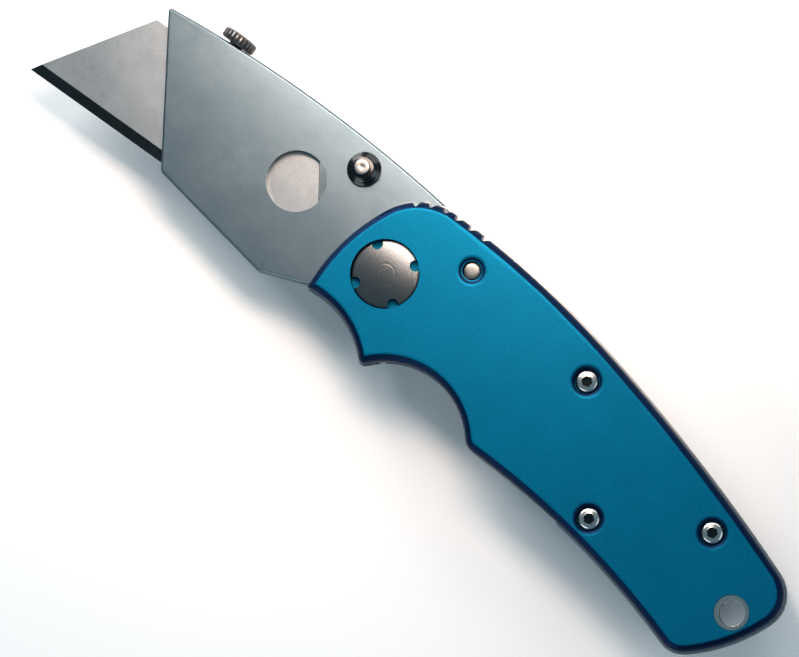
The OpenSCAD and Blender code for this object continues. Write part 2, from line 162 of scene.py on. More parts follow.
def linked(bm, name):
    """A new object in the scene from a bmesh, which is freed."""
    mesh = bpy.data.meshes.new(name)
    bm.to_mesh(mesh)
    bm.free()
    made = bpy.data.objects.new(name, mesh)
    bpy.context.scene.collection.objects.link(made)
    return made


def place_piece(bm, name, material, body, replaces=(), smooth=32, weighted=True):
    """Makes a bmesh an object that moves with a body; smooth is the sharpest smooth angle."""
    piece = linked(bm, name)
    mesh = piece.data
    mesh.materials.append(material)
    mesh.polygons.foreach_set("use_smooth", [True] * len(mesh.polygons))
    mesh.set_sharp_from_angle(angle=math.radians(smooth))
    if weighted:
        normals = piece.modifiers.new("Face weighted normals", "WEIGHTED_NORMAL")
        normals.keep_sharp = True
    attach(piece, body)
    if replaces:
        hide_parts(*replaces)
    return piece


def bevel_sharp(bm, width, segments=2, above=35, pick=None, clamp=True):
    """Rounds the convex edges that turn by more than an angle, or only those that are picked."""
    bm.normal_update()
    limit = math.radians(above)
    edges = [e for e in bm.edges
             if len(e.link_faces) == 2 and e.is_convex and e.calc_face_angle(0) > limit]
    if pick:
        edges = [e for e in edges if pick(e)]
    bmesh.ops.bevel(bm, geom=edges, offset=width, offset_type="OFFSET", segments=segments,
                    profile=0.5, affect="EDGES", clamp_overlap=clamp, material=-1,
                    miter_outer="ARC")


def bar(radius, low, high, at=(0, 0), sides=96, turn=0.0):
    """A closed prism or cylinder along Z from low to high."""
    bm = bmesh.new()
    place = Matrix.Translation((at[0], at[1], (low + high) / 2)) @ Matrix.Rotation(turn, 4, "Z")
    bmesh.ops.create_cone(bm, cap_ends=True, segments=sides, radius1=radius, radius2=radius,
                          depth=high - low, matrix=place)
    return bm


def spun(profile, steps=96):
    """A shape of revolution about Z through the origin, from (radius, height) points."""
    bm = bmesh.new()
    verts = [bm.verts.new((r, 0, z)) for r, z in profile]
    edges = [bm.edges.new(pair) for pair in zip(verts, verts[1:])]
    bmesh.ops.spin(bm, geom=verts + edges, cent=(0, 0, 0), axis=(0, 0, 1), angle=math.tau,
                   steps=steps, use_merge=True)
    bmesh.ops.remove_doubles(bm, verts=bm.verts, dist=1e-7)
    bmesh.ops.recalc_face_normals(bm, faces=bm.faces)
    return bm


def moved(bm, matrix):
    bmesh.ops.transform(bm, matrix=matrix, verts=bm.verts)
    return bm


def on_side(bm, at, side, height=0.0):
    """Stands a shape over a point, facing the front if side is 1 and the rear if it is -1."""
    flip = Matrix.Identity(4) if side > 0 else Matrix.Scale(-1, 4, (0, 0, 1))
    return moved(bm, Matrix.Translation((at.x, at.y, side * height)) @ flip)


def reach_of(node, side):
    """How far out a node reaches from the XY plane's origin on one side."""
    low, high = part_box(node)
    return high.z if side > 0 else -low.z


def joined(parts):
    """One bmesh from several, each freed."""
    whole = bmesh.new()
    for part in parts:
        mesh = bpy.data.meshes.new("part")
        part.to_mesh(mesh)
        part.free()
        whole.from_mesh(mesh)
        bpy.data.meshes.remove(mesh)
    return whole


def carved(bm, cutters):
    """Takes the cutters' shapes out of a closed mesh and returns the rest."""
    body = linked(bm, "carved_body")
    tools = [linked(cutter, "carving_tool") for cutter in cutters]
    for tool in tools:
        cut = body.modifiers.new("Cut", "BOOLEAN")
        cut.operation, cut.solver, cut.object = "DIFFERENCE", "EXACT", tool
    result = bmesh.new()
    result.from_object(body, bpy.context.evaluated_depsgraph_get())
    for made in [body, *tools]:
        mesh = made.data
        bpy.data.objects.remove(made)
        bpy.data.meshes.remove(mesh)
    bmesh.ops.remove_doubles(result, verts=result.verts, dist=1e-7)
    return result


# ---------- shared shader groups ----------

def new_group(name, inputs, outputs):
    """An empty shader group with its sockets: name to (type, default)."""
    group = bpy.data.node_groups.new(name, "ShaderNodeTree")
    for label, (kind, default) in inputs.items():
        socket = group.interface.new_socket(label, in_out="INPUT", socket_type=kind)
        socket.default_value = default
    for label, kind in outputs.items():
        group.interface.new_socket(label, in_out="OUTPUT", socket_type=kind)
    return group, group.nodes.new("NodeGroupInput"), group.nodes.new("NodeGroupOutput")


def add(tree, kind, **values):
    """A node with its properties, and its inputs by position or name."""
    node = tree.nodes.new(kind)
    for key, value in values.items():
        if key == "inputs":
            for socket, setting in value.items():
                node.inputs[socket].default_value = setting
        else:
            setattr(node, key, value)
    return node


def wire(tree, *pairs):
    for source, target in pairs:
        tree.links.new(source, target)


def ramp(tree, stops):
    """A colour ramp from (position, value or colour) stops."""
    node = tree.nodes.new("ShaderNodeValToRGB")
    elements = node.color_ramp.elements
    while len(elements) < len(stops):
        elements.new(0.5)
    for element, (place, value) in zip(elements, stops):
        element.position = place
        element.color = (value, value, value, 1) if isinstance(value, (int, float)) else (*value, 1)
    return node


def grain_group():
    """Fine even grain and soft clouds: a blasted or etched surface."""
    group, given, out = new_group(
        "Fine grain",
        {"Scale": ("NodeSocketFloat", 9000.0), "Stretch": ("NodeSocketVector", (1, 1, 1))},
        {"Grain": "NodeSocketFloat", "Cloud": "NodeSocketFloat"})
    place = add(group, "ShaderNodeTexCoord")
    stretch = add(group, "ShaderNodeVectorMath", operation="MULTIPLY")
    fine = add(group, "ShaderNodeTexNoise", inputs={"Detail": 2.0, "Roughness": 0.6})
    cloud = add(group, "ShaderNodeTexNoise", inputs={"Scale": 140.0, "Detail": 4.0, "Roughness": 0.6})
    wire(group,
         (place.outputs["Object"], stretch.inputs[0]),
         (given.outputs["Stretch"], stretch.inputs[1]),
         (stretch.outputs[0], fine.inputs["Vector"]),
         (given.outputs["Scale"], fine.inputs["Scale"]),
         (place.outputs["Object"], cloud.inputs["Vector"]),
         (fine.outputs["Fac"], out.inputs["Grain"]),
         (cloud.outputs["Fac"], out.inputs["Cloud"]))
    return group


def scratch_group():
    """Sparse fine scratches that run about one way."""
    group, given, out = new_group(
        "Scratches",
        {"Angle": ("NodeSocketFloat", 0.0), "Amount": ("NodeSocketFloat", 0.5)},
        {"Scratch": "NodeSocketFloat"})
    place = add(group, "ShaderNodeTexCoord")
    turn = add(group, "ShaderNodeVectorRotate", rotation_type="Z_AXIS")
    stretch = add(group, "ShaderNodeVectorMath", operation="MULTIPLY", inputs={1: (60.0, 3500.0, 60.0)})
    lines = add(group, "ShaderNodeTexNoise", inputs={"Scale": 1.0, "Detail": 3.0, "Roughness": 0.7})
    keep = ramp(group, [(0.60, 0.0), (0.72, 1.0)])
    scale = add(group, "ShaderNodeMath", operation="MULTIPLY")
    wire(group,
         (place.outputs["Object"], turn.inputs["Vector"]),
         (given.outputs["Angle"], turn.inputs["Angle"]),
         (turn.outputs[0], stretch.inputs[0]),
         (stretch.outputs[0], lines.inputs["Vector"]),
         (lines.outputs["Fac"], keep.inputs["Fac"]),
         (keep.outputs["Color"], scale.inputs[0]),
         (given.outputs["Amount"], scale.inputs[1]),
         (scale.outputs[0], out.inputs["Scratch"]))
    return group


def slope_group():
    """How far a face turns away from the flat sides: 0 up to Start and 1 from End; the mask for painted
    shade on rounded edges and walls.
    """
    group, given, out = new_group(
        "Edge slope",
        {"Start": ("NodeSocketFloat", 0.1), "End": ("NodeSocketFloat", 0.8)},
        {"Slope": "NodeSocketFloat"})
    face = add(group, "ShaderNodeNewGeometry")
    split = add(group, "ShaderNodeSeparateXYZ")
    flat = add(group, "ShaderNodeMath", operation="ABSOLUTE")
    away = add(group, "ShaderNodeMath", operation="SUBTRACT", inputs={0: 1.0})
    spread = add(group, "ShaderNodeMapRange", interpolation_type="SMOOTHSTEP")
    wire(group,
         (face.outputs["Normal"], split.inputs[0]),
         (split.outputs["Z"], flat.inputs[0]),
         (flat.outputs[0], away.inputs[1]),
         (away.outputs[0], spread.inputs["Value"]),
         (given.outputs["Start"], spread.inputs["From Min"]),
         (given.outputs["End"], spread.inputs["From Max"]),
         (spread.outputs[0], out.inputs["Slope"]))
    return group


def ring_group():
    """Turned rings about an axis parallel to Z through a point."""
    group, given, out = new_group(
        "Turned rings",
        {"Centre": ("NodeSocketVector", (0, 0, 0)), "Rings": ("NodeSocketFloat", 9000.0)},
        {"Ring": "NodeSocketFloat"})
    place = add(group, "ShaderNodeTexCoord")
    centre = add(group, "ShaderNodeVectorMath", operation="SUBTRACT")
    flat = add(group, "ShaderNodeVectorMath", operation="MULTIPLY", inputs={1: (1.0, 1.0, 0.0)})
    reach = add(group, "ShaderNodeVectorMath", operation="LENGTH")
    spread = add(group, "ShaderNodeMath", operation="MULTIPLY")
    rings = add(group, "ShaderNodeTexNoise", noise_dimensions="1D", inputs={"Scale": 1.0, "Detail": 3.0})
    wire(group,
         (place.outputs["Object"], centre.inputs[0]),
         (given.outputs["Centre"], centre.inputs[1]),
         (centre.outputs[0], flat.inputs[0]),
         (flat.outputs[0], reach.inputs[0]),
         (reach.outputs["Value"], spread.inputs[0]),
         (given.outputs["Rings"], spread.inputs[1]),
         (spread.outputs[0], rings.inputs["W"]),
         (rings.outputs["Fac"], out.inputs["Ring"]))
    return group


SHARED = {}


def shared(tree, name, maker, **inputs):
    """Places a shared group in a material, and builds it the first time."""
    if name not in SHARED:
        SHARED[name] = maker()
    node = tree.nodes.new("ShaderNodeGroup")
    node.node_tree = SHARED[name]
    for socket, value in inputs.items():
        node.inputs[socket].default_value = value
    return node


# ---------- materials ----------

def new_material(name, metallic, roughness):
    material = bpy.data.materials.new(name)
    material.use_nodes = True
    tree = material.node_tree
    shader = tree.nodes["Principled BSDF"]
    shader.inputs["Metallic"].default_value = metallic
    shader.inputs["Roughness"].default_value = roughness
    return material, tree, shader


def mixed(tree, factor, first, second, kind="RGBA", blend="MIX"):
    """A mix of two colours or sockets; returns its result socket."""
    node = tree.nodes.new("ShaderNodeMix")
    node.data_type = kind
    if kind == "RGBA":
        node.blend_type = blend
    a, b, result = (6, 7, 2) if kind == "RGBA" else (2, 3, 0)
    for slot, value in ((0, factor), (a, first), (b, second)):
        if isinstance(value, bpy.types.NodeSocket):
            tree.links.new(value, node.inputs[slot])
        elif isinstance(value, (int, float)):
            node.inputs[slot].default_value = value
        else:
            node.inputs[slot].default_value = (*value, 1)
    return node.outputs[result]


def bumped(tree, shader, height, strength, distance):
    """Raises the surface where a value is high."""
    bump = add(tree, "ShaderNodeBump", inputs={"Strength": strength, "Distance": distance})
    wire(tree, (height, bump.inputs["Height"]), (bump.outputs[0], shader.inputs["Normal"]))


def spread_value(tree, value, low, high):
    """Takes a value from the range 0 to 1 to another one."""
    node = add(tree, "ShaderNodeMapRange", inputs={"To Min": low, "To Max": high})
    wire(tree, (value, node.inputs["Value"]))
    return node.outputs[0]


def times(base, factor):
    """A colour made lighter or darker."""
    return tuple(min(1.0, c * factor) for c in base)


def anodised_material():
    """Satin blue anodised aluminium: fine grain, with painted shade on the rounded edge."""
    look = colours()
    material, tree, shader = new_material("anodised_blue", 0.62, 0.42)
    grain = shared(tree, "grain", grain_group, Scale=3300.0)
    slope = shared(tree, "slope", slope_group, Start=0.002, End=0.05)
    speckle = ramp(tree, [(0.32, 0.85), (0.68, 1.13)])
    cloud = ramp(tree, [(0.35, times(look.anodised, 0.96)), (0.65, times(look.anodised, 1.04))])
    wire(tree,
         (grain.outputs["Grain"], speckle.inputs["Fac"]),
         (grain.outputs["Cloud"], cloud.inputs["Fac"]))
    face = mixed(tree, 1.0, cloud.outputs["Color"], speckle.outputs["Color"], blend="MULTIPLY")
    # Painted shade: the rounded edge turns near-black blue as its slope rises.
    face = mixed(tree, slope.outputs["Slope"], face, tuple(look.anodised_edge_shade))
    rough = spread_value(tree, grain.outputs["Grain"], 0.34, 0.50)
    wire(tree, (face, shader.inputs["Base Color"]), (rough, shader.inputs["Roughness"]))
    shader.inputs["Specular IOR Level"].default_value = 0.12
    bumped(tree, shader, grain.outputs["Grain"], 0.25, 0.02 * MM)
    return material


def steel_material(name, base, roughness=0.38, grain_scale=5200.0, contrast=0.10, bump=0.2,
                   scratches=0.25, angle=0.0, stretch=(1, 1, 1), warm=(1.0, 1.0, 1.0), rim=None):
    """Plain steel with fine grain, clouds and scratches; warm tints the light clouds; rim is a colour of
    painted shade for faces that turn away from the flat.
    """
    material, tree, shader = new_material(name, 1.0, roughness)
    grain = shared(tree, "grain", grain_group, Scale=grain_scale, Stretch=stretch)
    scratch = shared(tree, "scratches", scratch_group, Angle=angle, Amount=scratches)
    light = tuple(min(1, c * (1 + contrast) * w) for c, w in zip(base, warm))
    cloud = ramp(tree, [(0.3, times(base, 1 - contrast)), (0.7, light)])
    speckle = ramp(tree, [(0.3, 1 - contrast), (0.7, 1.0)])
    wire(tree,
         (grain.outputs["Cloud"], cloud.inputs["Fac"]),
         (grain.outputs["Grain"], speckle.inputs["Fac"]))
    face = mixed(tree, 1.0, cloud.outputs["Color"], speckle.outputs["Color"], blend="MULTIPLY")
    face = mixed(tree, scratch.outputs["Scratch"], face, times(base, 1.5))
    # Painted shade: faces that turn away from the flat, rounded edges and walls, blend to the rim colour.
    if rim:
        slope = shared(tree, "slope", slope_group, Start=0.01, End=0.30)
        face = mixed(tree, slope.outputs["Slope"], face, rim)
    rough = spread_value(tree, grain.outputs["Grain"], roughness - 0.06, roughness + 0.08)
    wire(tree, (face, shader.inputs["Base Color"]), (rough, shader.inputs["Roughness"]))
    bumped(tree, shader, grain.outputs["Grain"], bump, 0.02 * MM)
    return material


def turned_material(name, base, centre, roughness=0.25, contrast=0.08):
    """Lathe-turned steel with fine rings round a centre."""
    material, tree, shader = new_material(name, 1.0, roughness)
    rings = shared(tree, "rings", ring_group, Centre=tuple(centre), Rings=9000.0)
    grain = shared(tree, "grain", grain_group, Scale=3000.0)
    tone = ramp(tree, [(0.3, times(base, 1 - contrast)), (0.7, times(base, 1 + contrast))])
    wire(tree, (rings.outputs["Ring"], tone.inputs["Fac"]))
    dull = spread_value(tree, grain.outputs["Cloud"], 0.0, 0.5)
    face = mixed(tree, dull, tone.outputs["Color"], times(base, 0.8))
    rough = spread_value(tree, rings.outputs["Ring"], roughness - 0.06, roughness + 0.08)
    wire(tree, (face, shader.inputs["Base Color"]), (rough, shader.inputs["Roughness"]))
    bumped(tree, shader, rings.outputs["Ring"], 0.12, 0.03 * MM)
    return material


def matt_material(name, base):
    """Matt black plastic, or painted shade for the knob's grooves."""
    material, tree, shader = new_material(name, 0.0, 0.55)
    grain = shared(tree, "grain", grain_group, Scale=3500.0)
    tone = ramp(tree, [(0.3, times(base, 0.8)), (0.7, times(base, 1.3))])
    rough = spread_value(tree, grain.outputs["Grain"], 0.45, 0.65)
    wire(tree,
         (grain.outputs["Cloud"], tone.inputs["Fac"]),
         (tone.outputs["Color"], shader.inputs["Base Color"]),
         (rough, shader.inputs["Roughness"]))
    bumped(tree, shader, grain.outputs["Grain"], 0.3, 0.03 * MM)
    return material


def blade_material():
    """Ground blade steel, mottled, with cross scratches."""
    return steel_material("blade_steel", tuple(colours().blade), roughness=0.36, grain_scale=2600.0,
                          contrast=0.13, scratches=0.12, angle=0.9, bump=0.15)


def ground_bevel_shade_material():
    """Near-black painted reflection on the blade's ground bevel, with its grinding lines across it."""
    return steel_material("blade_ground_bevel_shade", tuple(colours().ground_bevel_shade), roughness=0.45,
                          grain_scale=4000.0, stretch=(4, 0.3, 1), contrast=0.3, scratches=0.1,
                          angle=1.57)


def carrier_material():
    """Blasted steel of the carrier, with painted shade where it turns away from the flat: its rounded
    edges and walls.
    """
    look = colours()
    return steel_material("blasted_steel", tuple(look.carrier), roughness=0.30, grain_scale=3600.0,
                          contrast=0.09, scratches=0.06, angle=-0.6, warm=(1.05, 1.0, 0.97),
                          rim=tuple(look.carrier_rim_shade))


def fine_steel(name, base, roughness, contrast, bump, scratches):
    """Steel of a small turned part, with hardly any grain."""
    return steel_material(name, base, roughness=roughness, contrast=contrast, bump=bump,
                          scratches=scratches)


MATERIALS = {}


def finish(maker, *settings):
    """A material that several pieces share, made the first time that it is asked for."""
    key = (maker.__name__, *settings[:1])
    if key not in MATERIALS:
        MATERIALS[key] = maker(*settings)
    return MATERIALS[key]


def liner_finish():
    return finish(steel_material, "liner_steel", tuple(colours().liner), 0.32)


def bright_finish():
    return finish(fine_steel, "bright_steel", tuple(colours().bright), 0.24, 0.04, 0.03, 0.05)


def satin_finish():
    return finish(fine_steel, "satin_steel", times(colours().bright, 0.5), 0.36, 0.05, 0.04, 0.05)


def pin_finish():
    return finish(fine_steel, "pin_steel", times(colours().bright, 0.42), 0.36, 0.10, 0.06, 0.05)


def nickel_finish():
    return finish(fine_steel, "dark_nickel", tuple(colours().nickel), 0.19, 0.06, 0.03, 0.0)


def ridge_finish():
    return finish(fine_steel, "knurled_nickel", times(colours().nickel, 2.6), 0.3, 0.06, 0.03, 0.0)


def groove_shade_finish():
    return finish(matt_material, "knurl_groove", tuple(colours().knurl_groove))


# ---------- pieces ----------

class KnifeOperator(bpy.types.Operator):
    """Shared base of the knife's operators"""
    bl_options = {"REGISTER", "UNDO"}


def dish(at, radius, top):
    """Cutter for a soft dish that falls from a flat face towards a round hole."""
    width, depth, steps = sizes().dish_width, sizes().dish_depth, 6
    outside, above = radius + width * 1.06, top + 0.3 * MM
    profile = [(0, top - depth)]
    profile += [(radius + width * k / steps, top - depth * (1 - k / steps) ** 2) for k in range(steps)]
    profile += [(outside, top + 0.01 * MM), (outside, above), (0, above)]
    return on_side(spun(profile, 72), at, 1)


class OBJECT_OT_knife_covers(KnifeOperator):
    """Make the two anodised covers, with a soft dish round the front cover's holes, and broken edges"""
    bl_idname = "object.knife_covers"
    bl_label = "Covers"

    def execute(self, context):
        material = finish(anodised_material)
        for node in ("front_cover", "rear_cover"):
            bm = cad_mesh(node)
            if node == "front_cover":
                holes = [(at, radius + SCREW_CLEARANCE) for at, radius, _ in islands("front_cover_screws")]
                holes.append((middle("stop_pin"), STOP_PIN_HOLE))
                bm = carved(bm, [dish(at, radius, reach_of(node, 1)) for at, radius in holes])
            bevel_sharp(bm, sizes().broken_edge, segments=2, above=40)
            place_piece(bm, node + "_shell", material, "handle", [node])
        return {"FINISHED"}


def outline_corner(edge, ahead, pointed):
    """Whether an edge is an upright corner that lies ahead of a place along X, pointed or blunt."""
    first, last = edge.verts[0].co, edge.verts[1].co
    upright = abs(first.z - last.z) > 0.3 * MM
    sharp = edge.calc_face_angle(0) > math.radians(85)
    return upright and first.x < ahead and sharp == pointed


def tumbled_rim(edge, height, axle):
    """Whether an edge is on a plate's outer face, clear of the window and of the tang."""
    window = axle + WINDOW_FROM_PIVOT
    return all(abs(v.co.z - height) < 0.01 * MM
               and (v.co.xy - window.xy).length > WINDOW_CLEAR
               and (v.co.xy - axle.xy).length > TANG_CLEAR for v in edge.verts)


class OBJECT_OT_knife_carrier(KnifeOperator):
    """Make the carrier's two blasted plates and the core between them"""
    bl_idname = "object.knife_carrier"
    bl_label = "Carrier"

    def execute(self, context):
        material = finish(carrier_material)
        corner = sizes().plate_corner
        axle = pivot()
        ahead = axle.x - NOSE_LENGTH
        for node, side in (("carrier_front_plate", 1), ("carrier_rear_plate", -1), ("carrier_core", 0)):
            bm = cad_mesh(node)
            bevel_sharp(bm, corner * 1.6, 5, above=30, pick=lambda e: outline_corner(e, ahead, True))
            bevel_sharp(bm, corner, 4, above=30, pick=lambda e: outline_corner(e, ahead, False))
            if side:
                outer = side * reach_of(node, side)
                bevel_sharp(bm, sizes().plate_edge, 4, above=30, clamp=False,
                            pick=lambda e: tumbled_rim(e, outer, axle))
            bevel_sharp(bm, sizes().sheet_edge, 2, above=50)
            place_piece(bm, node + "_blasted", material, "carrier", [node])
        return {"FINISHED"}


class OBJECT_OT_knife_blade(KnifeOperator):
    """Make the trapezoid blade, with painted dark reflection on its ground bevel"""
    bl_idname = "object.knife_blade"
    bl_label = "Blade"

    def execute(self, context):
        piece = place_piece(cad_mesh("blade"), "blade_ground", finish(blade_material), "blade",
                            ["blade"])
        piece.data.materials.append(finish(ground_bevel_shade_material))
        # Painted reflection: the leaning faces of the ground bevel take the near-black bevel material.
        for face in piece.data.polygons:
            leaning = 0.5 < abs(face.normal.z) < 0.999
            if leaning:
                face.material_index = 1
        return {"FINISHED"}


def pivot_head(side):
    """Domed pivot head with a turned ring and four notches; side is 1 in front and -1 behind."""
    node = "pivot_barrel" if side > 0 else "pivot_screw"
    low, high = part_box(node)
    radius = (high.x - low.x) / 2
    top = reach_of(node, side)
    rim, floor = top - sizes().head_dome, top - HEAD_DEPTH
    profile = [(0, floor), (radius - 0.05 * MM, floor), (radius, floor + 0.05 * MM),
               (radius, rim - HEAD_CHAMFER)]
    profile += [(radius - HEAD_CHAMFER * (1 - math.cos(a)), rim - HEAD_CHAMFER * (1 - math.sin(a)))
                for a in (math.radians(30), math.radians(60), math.radians(90))]
    steps, ring_width = 60, 0.022
    for k in range(1, steps):
        r = (radius - HEAD_CHAMFER) * (1 - k / steps)
        dome = sizes().head_dome * (1 - (r / radius) ** 2)
        rings = sum(math.exp(-((r / radius - at) / ring_width) ** 2) for at in (0.3, 0.0))
        profile.append((r, rim + dome - sizes().head_ring * rings))
    profile.append((0, top - sizes().head_ring))
    reach = radius - NOTCH_INSET
    turns = [math.radians(NOTCH_TURN + 90 * k) for k in range(4)]
    bm = carved(spun(profile, 128),
                [bar(NOTCH_RADIUS, floor - MM, top + MM, (reach * math.cos(a), reach * math.sin(a)))
                 for a in turns])
    on_side(bm, middle(node), side)
    bmesh.ops.recalc_face_normals(bm, faces=bm.faces)
    return bm


class OBJECT_OT_knife_pivot(KnifeOperator):
    """Make the pivot's two domed heads and the shaft between them"""
    bl_idname = "object.knife_pivot"
    bl_label = "Pivot"

    def execute(self, context):
        centre = pivot()
        material = turned_material("turned_steel", tuple(colours().turned), centre)
        for side, node in ((1, "pivot_barrel"), (-1, "pivot_screw")):
            place_piece(pivot_head(side), node + "_head", material, "handle", [node],
                        smooth=28, weighted=False)
        inside = 1.5 * MM
        low, high = inside - reach_of("pivot_screw", -1), reach_of("pivot_barrel", 1) - inside
        shaft = bar(SHAFT_RADIUS, low, high, (centre.x, centre.y))
        place_piece(shaft, "pivot_shaft", material, "handle")
        return {"FINISHED"}


class OBJECT_OT_knife_sheet_parts(KnifeOperator):
    """Make the liners, lock leaf, spacer, washers, eyelets and pins"""
    bl_idname = "object.knife_sheet_parts"
    bl_label = "Liners and inner parts"

    def execute(self, context):
        liner, bright = liner_finish(), bright_finish()
        spacer = matt_material("black_spacer", tuple(colours().spacer))
        bronze = steel_material("bronze", tuple(colours().bronze), roughness=0.35)
        for node, material, body, slot in (
                ("lock_liner", liner, "handle", "liner_steel"),
                ("rear_liner", liner, "handle", "liner_steel"),
                ("lock_leaf", liner, "lock_leaf", "liner_steel"),
                ("detent_ball", bright, "lock_leaf", "polished_steel"),
                ("back_spacer", spacer, "handle", "black_spacer"),
                ("spacer_pins", bright, "handle", "polished_steel"),
                ("front_washer", bronze, "handle", "bronze"),
                ("rear_washer", bronze, "handle", "bronze"),
                ("lanyard_eyelets", bright, "handle", "polished_steel")):
            bm = cad_mesh(node)
            if node != "detent_ball":
                bevel_sharp(bm, sizes().sheet_edge, segments=2, above=40)
            place_piece(bm, node + "_made", material, body, [node])
        return {"FINISHED"}


class OBJECT_OT_knife_stop_pin(KnifeOperator):
    """Make the stop pin with its crowned ends"""
    bl_idname = "object.knife_stop_pin"
    bl_label = "Stop pin"

    def execute(self, context):
        low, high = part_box("stop_pin")
        radius, half = (high.x - low.x) / 2, (high.z - low.z) / 2
        crown = [(radius, half - 0.3 * MM), (radius - 0.06 * MM, half - 0.14 * MM),
                 (radius - 0.22 * MM, half - 0.05 * MM), (radius * 0.5, half - 0.01 * MM), (0, half)]
        profile = [(r, -z) for r, z in reversed(crown)] + crown
        bm = moved(spun(profile, 64), Matrix.Translation(middle("stop_pin")))
        place_piece(bm, "stop_pin_turned", pin_finish(), "handle", ["stop_pin"],
                    weighted=False)
        return {"FINISHED"}


def stud(side):
    """Thumb stud of three rounded steps and a tip; side is 1 in front and -1 behind."""
    node = "front_thumb_stud" if side > 0 else "rear_thumb_stud"
    plate = reach_of("carrier_front_plate" if side > 0 else "carrier_rear_plate", side)
    top = reach_of(node, side)
    low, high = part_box(node)
    radius, height = (high.x - low.x) / 2, top - plate
    profile = [(0, plate)]
    for share, rise in ((1.0, 0.22), (0.845, 0.46), (0.69, 0.70)):
        r, z = radius * share, plate + height * rise
        profile += [(r - inset * MM, z - drop * MM)
                    for inset, drop in ((0.10, 0.50), (0.03, 0.40), (0, 0.26), (0.02, 0.13),
                                        (0.10, 0.04), (0.24, 0))]
    profile[1:3] = [(radius - 0.04 * MM, plate), (radius, plate + 0.1 * MM)]
    tip = 0.44 * radius
    profile += [(tip + 0.02 * MM, plate + height * 0.72), (tip, plate + height * 0.76),
                (tip, top - 0.16 * MM), (tip - 0.05 * MM, top - 0.05 * MM), (tip - 0.16 * MM, top)]
    profile += [(0.3 * MM, top - 0.02 * MM), (0.16 * MM, top - 0.08 * MM), (0, top - 0.14 * MM)]
    bm = on_side(spun(profile, 96), middle(node), side)
    bmesh.ops.recalc_face_normals(bm, faces=bm.faces)
    return bm


class OBJECT_OT_knife_studs(KnifeOperator):
    """Make the two stepped thumb studs with bright tips"""
    bl_idname = "object.knife_studs"
    bl_label = "Thumb studs"

    def execute(self, context):
        for side, node in ((1, "front_thumb_stud"), (-1, "rear_thumb_stud")):
            piece = place_piece(stud(side), node + "_turned", nickel_finish(), "carrier",
                                [node], smooth=40, weighted=False)
            piece.data.materials.append(satin_finish())
            bright_from = reach_of(node, side) - PUNCHED_TIP
            for face in piece.data.polygons:
                if face.center.z * side > bright_from:
                    face.material_index = 1
        return {"FINISHED"}


def knob_profile(radius, thick):
    """Outline of the barrel-shaped clamp knob, from its foot to the mark in its top."""
    return [(0, 0), (radius - 0.38 * MM, 0), (radius - 0.12 * MM, 0.1 * MM), (radius, 0.32 * MM),
            (radius, thick * 0.42), (radius, thick - 0.62 * MM),
            (radius - 0.08 * MM, thick - 0.36 * MM), (radius - 0.30 * MM, thick - 0.18 * MM),
            (radius - 0.7 * MM, thick - 0.06 * MM), (radius - 1.2 * MM, thick), (0.9 * MM, thick),
            (0.6 * MM, thick - 0.1 * MM), (0, thick - 0.14 * MM)]


def knurl(bm, radius):
    """Presses the grooves between the ridges into a knob about the Z axis."""
    band, fade_in = 0.36 * MM, 0.2 * MM
    for vert in bm.verts:
        reach = vert.co.xy.length
        if reach > radius - band:
            turn = math.atan2(vert.co.y, vert.co.x) * sizes().knurl_ridges / math.tau
            wave = abs((turn % 1.0) - 0.5) * 2
            sink = sizes().knurl_depth * max(0.0, min(1.0, (0.62 - wave) * 4))
            fade = min(1.0, (reach - radius + band) / fade_in)
            vert.co.xy *= (reach - sink * fade) / reach


class OBJECT_OT_knife_clamp(KnifeOperator):
    """Make the knurled clamp knob and its shank"""
    bl_idname = "object.knife_clamp"
    bl_label = "Clamp screw"

    def execute(self, context):
        low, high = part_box("knurled_knob")
        centre = middle("knurled_knob")
        radius, thick = (high.x - low.x) / 2, high.y - low.y
        upright = Matrix.Rotation(-math.pi / 2, 4, "X")
        bm = spun(knob_profile(radius, thick), sizes().knurl_ridges * 6)
        knurl(bm, radius)
        moved(bm, Matrix.Translation((centre.x, low.y, centre.z)) @ upright)
        piece = place_piece(bm, "clamp_knob_knurled", ridge_finish(), "clamp_knob",
                            ["knurled_knob"], smooth=30, weighted=False)
        # Painted shade: faces deep between the ridges take a near-black matt for the shadow in the
        # grooves.
        piece.data.materials.append(groove_shade_finish())
        for face in piece.data.polygons:
            out = Vector((face.center.x - centre.x, face.center.z - centre.z)).length
            rise = face.center.y - low.y
            deep = radius - 0.36 * MM < out < radius - 0.5 * sizes().knurl_depth
            if deep and 0.25 * MM < rise < thick - 0.3 * MM:
                face.material_index = 1

        low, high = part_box("clamp_screw")
        shank = bar((high.x - low.x) / 2, 0, high.y - low.y - 0.4 * MM)
        moved(shank, Matrix.Translation((centre.x, low.y, centre.z)) @ upright)
        bevel_sharp(shank, 0.1 * MM)
        place_piece(shank, "clamp_shank_turned", nickel_finish(), "clamp_shank",
                    ["clamp_screw"])
        return {"FINISHED"}


def islands(node):
    """For each separate solid of a node: its middle, its half width and its ends along Z."""
    bm = bmesh.new()
    bm.from_mesh(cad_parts[node].data)
    bmesh.ops.remove_doubles(bm, verts=bm.verts, dist=1e-6)
    left, found = set(bm.verts), []
    while left:
        group, queue = set(), [left.pop()]
        while queue:
            vert = queue.pop()
            group.add(vert)
            near = {e.other_vert(vert) for e in vert.link_edges} & left
            left -= near
            queue += near
        low = Vector(min(v.co[i] for v in group) for i in range(3))
        high = Vector(max(v.co[i] for v in group) for i in range(3))
        found.append(((low + high) / 2, (high.x - low.x) / 2, (low.z, high.z)))
    bm.free()
    return found


